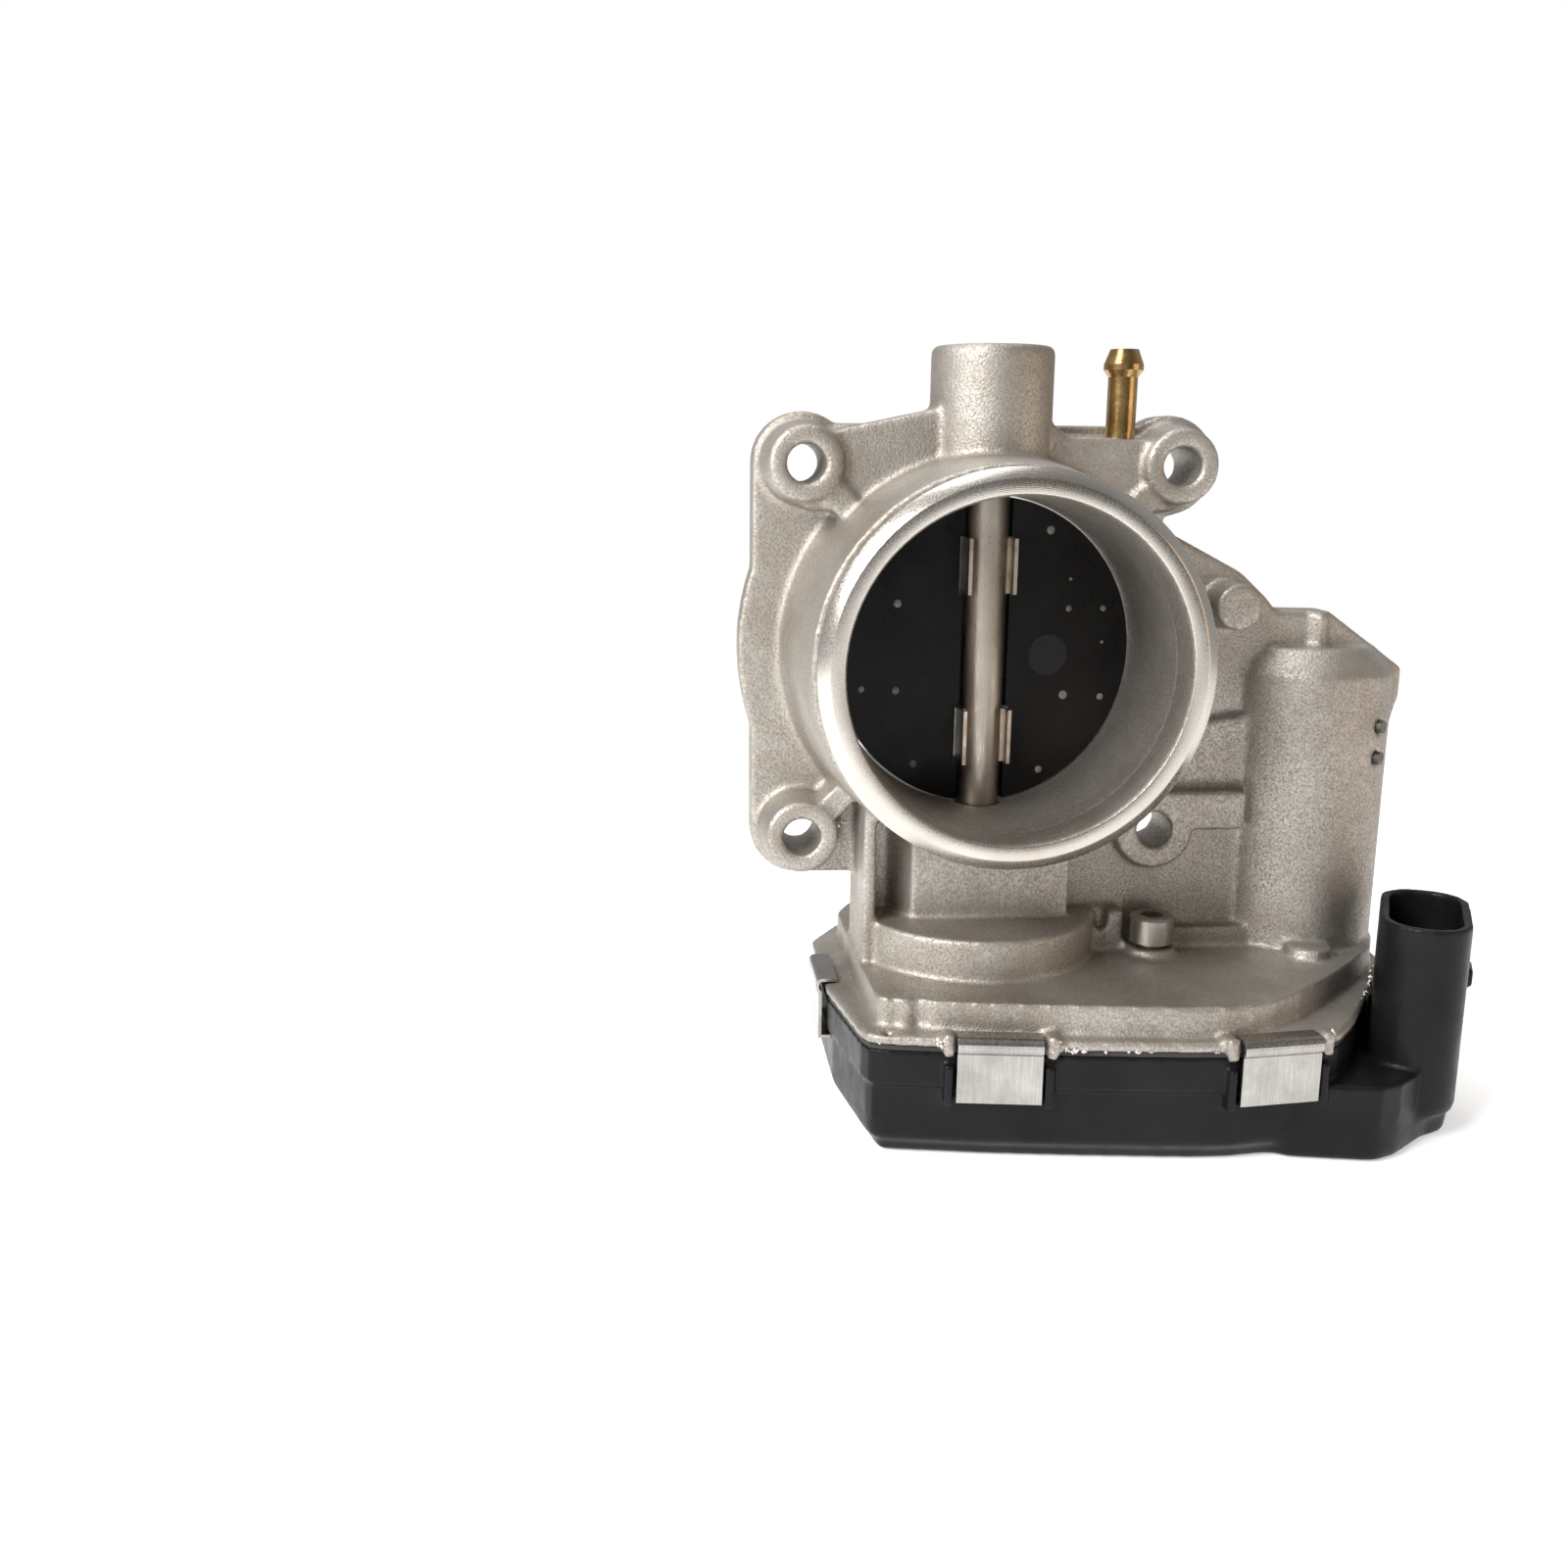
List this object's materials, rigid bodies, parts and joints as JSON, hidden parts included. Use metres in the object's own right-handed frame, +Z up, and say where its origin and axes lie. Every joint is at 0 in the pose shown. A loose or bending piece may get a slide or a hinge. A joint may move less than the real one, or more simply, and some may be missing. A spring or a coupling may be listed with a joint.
{
  "type": "electronic throttle body",
  "caption": "Electronic throttle body: cast housing with a sprung butterfly on a vertical shaft, turned by a motor and gear train under a clipped plastic cover with a connector.",
  "frame": {"origin": "bore axis at the face that meets the manifold", "axes": "+Y along the bore toward the manifold, -Y out of the inlet mouth, +X toward the motor and connector, +Z up the shaft away from the gear cover"},
  "size_m": [0.1354, 0.0761, 0.1395],
  "materials": {
    "throttle_housing": "shot-blasted casting",
    "upper_bearing": "ground",
    "lower_bearing": "ground",
    "upper_plug": "pressed",
    "shaft_seal": "matt",
    "hose_nipple": "turned",
    "motor_can": "drawn",
    "motor_magnets": "sintered",
    "motor_end_plate": "moulded",
    "motor_brushes": "carbon",
    "motor_terminals": "stamped",
    "motor_screws": "plated",
    "cap_screw": "plated",
    "side_pins": "plain",
    "intermediate_pin": "ground",
    "cover_gasket": "matt",
    "gear_cover": "satin moulded",
    "cover_clips": "spring steel",
    "sensor_board": "lacquered",
    "contact_pins": "tinned",
    "throttle_shaft": "ground",
    "throttle_plate": "satin coated",
    "plate_clips": "spring steel",
    "sector_gear": "moulded",
    "sensor_rotor": "copper",
    "gear_nut": "plated",
    "return_spring": "oiled",
    "intermediate_gear": "moulded",
    "motor_shaft": "ground",
    "motor_pinion": "machined",
    "motor_armature": "laminated",
    "motor_windings": "enamelled copper",
    "motor_commutator": "copper"
  },
  "bodies": {
    "housing": {"throttle_housing": "throttle_housing", "upper_bearing": "upper_bearing", "lower_bearing": "lower_bearing", "upper_plug": "upper_plug", "shaft_seal": "shaft_seal", "hose_nipple": "hose_nipple", "motor_can": "motor_can", "motor_magnets": "motor_magnets", "motor_end_plate": "motor_end_plate", "motor_brushes": "motor_brushes", "motor_terminals": "motor_terminals", "motor_screws": "motor_screws", "cap_screw": "cap_screw", "side_pins": "side_pins", "intermediate_pin": "intermediate_pin", "cover_gasket": "cover_gasket", "gear_cover": "gear_cover", "cover_clips": "cover_clips", "sensor_board": "sensor_board", "contact_pins": "contact_pins", "return_spring": "return_spring"},
    "butterfly": {"throttle_shaft": "throttle_shaft", "throttle_plate": "throttle_plate", "plate_clips": "plate_clips", "sector_gear": "sector_gear", "sensor_rotor": "sensor_rotor", "gear_nut": "gear_nut"},
    "intermediate": {"intermediate_gear": "intermediate_gear"},
    "rotor": {"motor_shaft": "motor_shaft", "motor_pinion": "motor_pinion", "motor_armature": "motor_armature", "motor_windings": "motor_windings", "motor_commutator": "motor_commutator"}
  },
  "joints": [
    {"name": "butterfly_turn", "type": "hinge", "parent": "housing", "child": "butterfly", "pos_m": [0, -0.009, 0], "axis": [0, 0, 1], "range_deg": [-7, 78], "stiffness_Nm_per_rad": 0.1},
    {"name": "intermediate_turn", "type": "hinge", "parent": "housing", "child": "intermediate", "pos_m": [0.03595, -0.01088, 0], "axis": [0, 0, 1], "range_deg": [-273.5, 25]},
    {"name": "rotor_turn", "type": "hinge", "parent": "housing", "child": "rotor", "pos_m": [0.06516, -0.00111, 0], "axis": [0, 0, 1], "range_deg": [-94.41, 1041.81]}
  ],
  "couplings": [
    {"joint": "intermediate_turn", "follows": "butterfly_turn", "ratio": -3.5},
    {"joint": "rotor_turn", "follows": "butterfly_turn", "ratio": 13.344}
  ]
}
